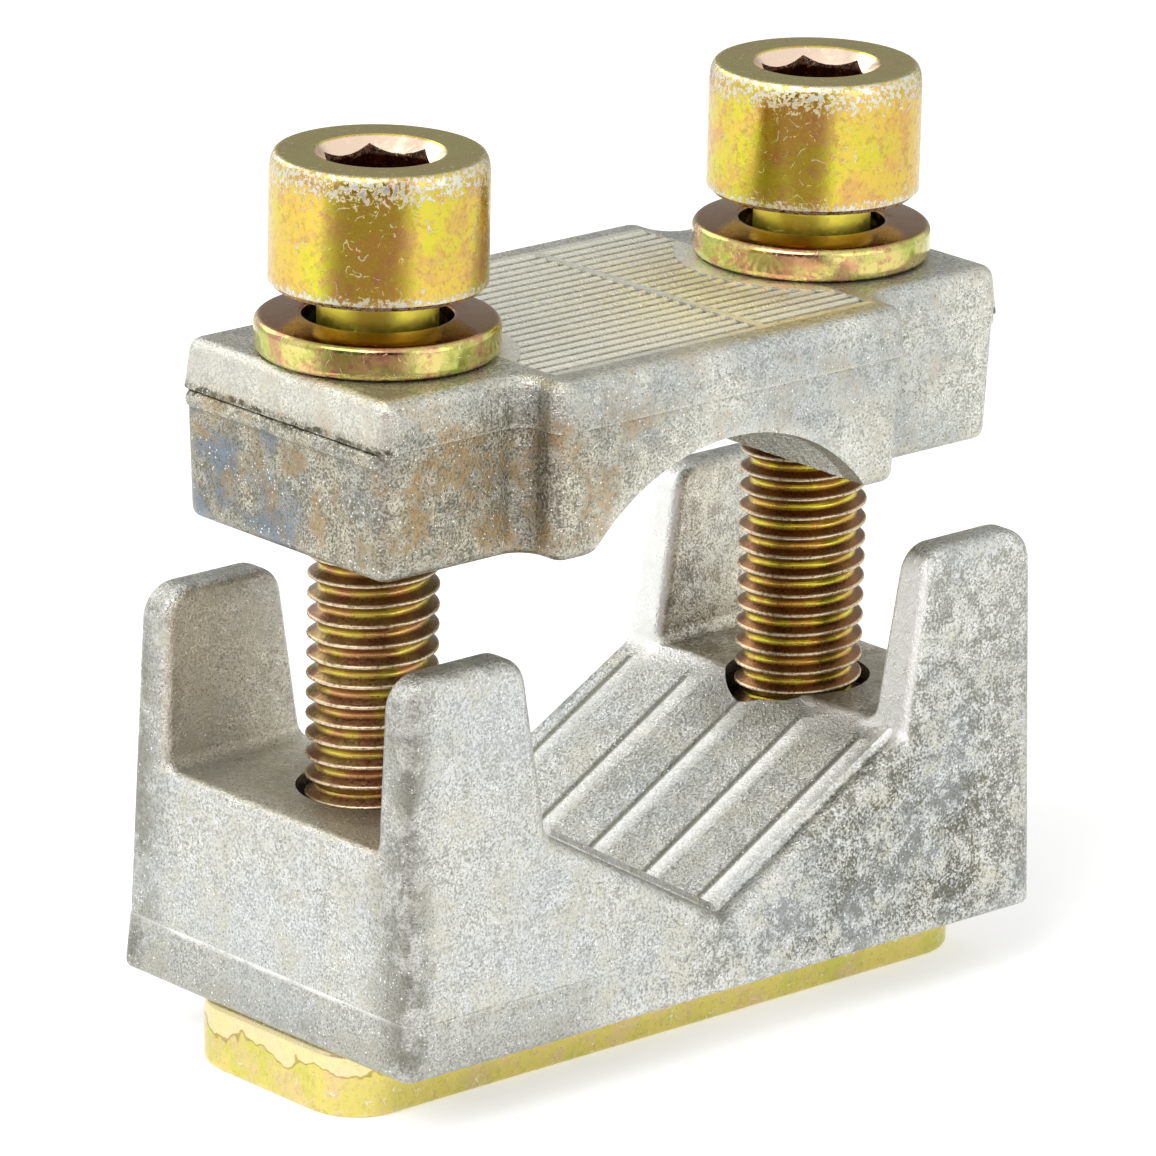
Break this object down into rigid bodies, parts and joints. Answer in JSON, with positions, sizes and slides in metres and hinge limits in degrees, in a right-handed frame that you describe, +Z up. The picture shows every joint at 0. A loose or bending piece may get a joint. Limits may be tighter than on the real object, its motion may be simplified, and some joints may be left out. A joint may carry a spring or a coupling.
{
  "type": "prism clamp",
  "caption": "Busbar clamp: arched upper jaw and V-shaped prism jaw drawn together by socket head screws into a threaded plate.",
  "frame": {"origin": "middle of the threaded plate's underside", "axes": "+X along the clamp through both screws, +Y along the clamped conductor, +Z up along the screws towards their heads"},
  "size_m": [0.0514, 0.0266, 0.0567],
  "materials": {
    "lower_casting": "die-cast skin, grey with a fine bright grain and light tarnish",
    "upper_casting": "die-cast skin, grey with brown and blue tarnish",
    "screw_steel": "yellow zinc chromate, iridescent, scratched to silver on the edges",
    "washer_steel": "yellow zinc chromate with a red to pink sheen",
    "plate_steel": "yellow zinc chromate on a stamped edge"
  },
  "bodies": {
    "plate": {"threaded_plate": "plate_steel"},
    "lower_jaw": {"lower_jaw": "lower_casting"},
    "upper_jaw": {"upper_jaw": "upper_casting", "washer_left": "washer_steel", "washer_right": "washer_steel"},
    "screw_left": {"screw_left": "screw_steel"},
    "screw_right": {"screw_right": "screw_steel"}
  },
  "joints": [
    {"name": "lower_jaw_lift", "type": "slide", "parent": "plate", "child": "lower_jaw", "axis": [0, 0, 1], "range_m": [0, 0.005]},
    {"name": "upper_jaw_travel", "type": "slide", "parent": "plate", "child": "upper_jaw", "axis": [0, 0, 1], "range_m": [-0.0108, 0]},
    {"name": "screw_left_turn", "type": "hinge", "parent": "upper_jaw", "child": "screw_left", "pos_m": [-0.01745, 0, 0.04865], "axis": [0, 0, 1], "range_deg": [-3111, 0]},
    {"name": "screw_right_turn", "type": "hinge", "parent": "upper_jaw", "child": "screw_right", "pos_m": [0.01745, 0, 0.04865], "axis": [0, 0, 1], "range_deg": [-3111, 0]}
  ],
  "couplings": [
    {"joint": "screw_left_turn", "follows": "upper_jaw_travel", "rad_per_m": 5026.5},
    {"joint": "screw_right_turn", "follows": "upper_jaw_travel", "rad_per_m": 5026.5}
  ]
}
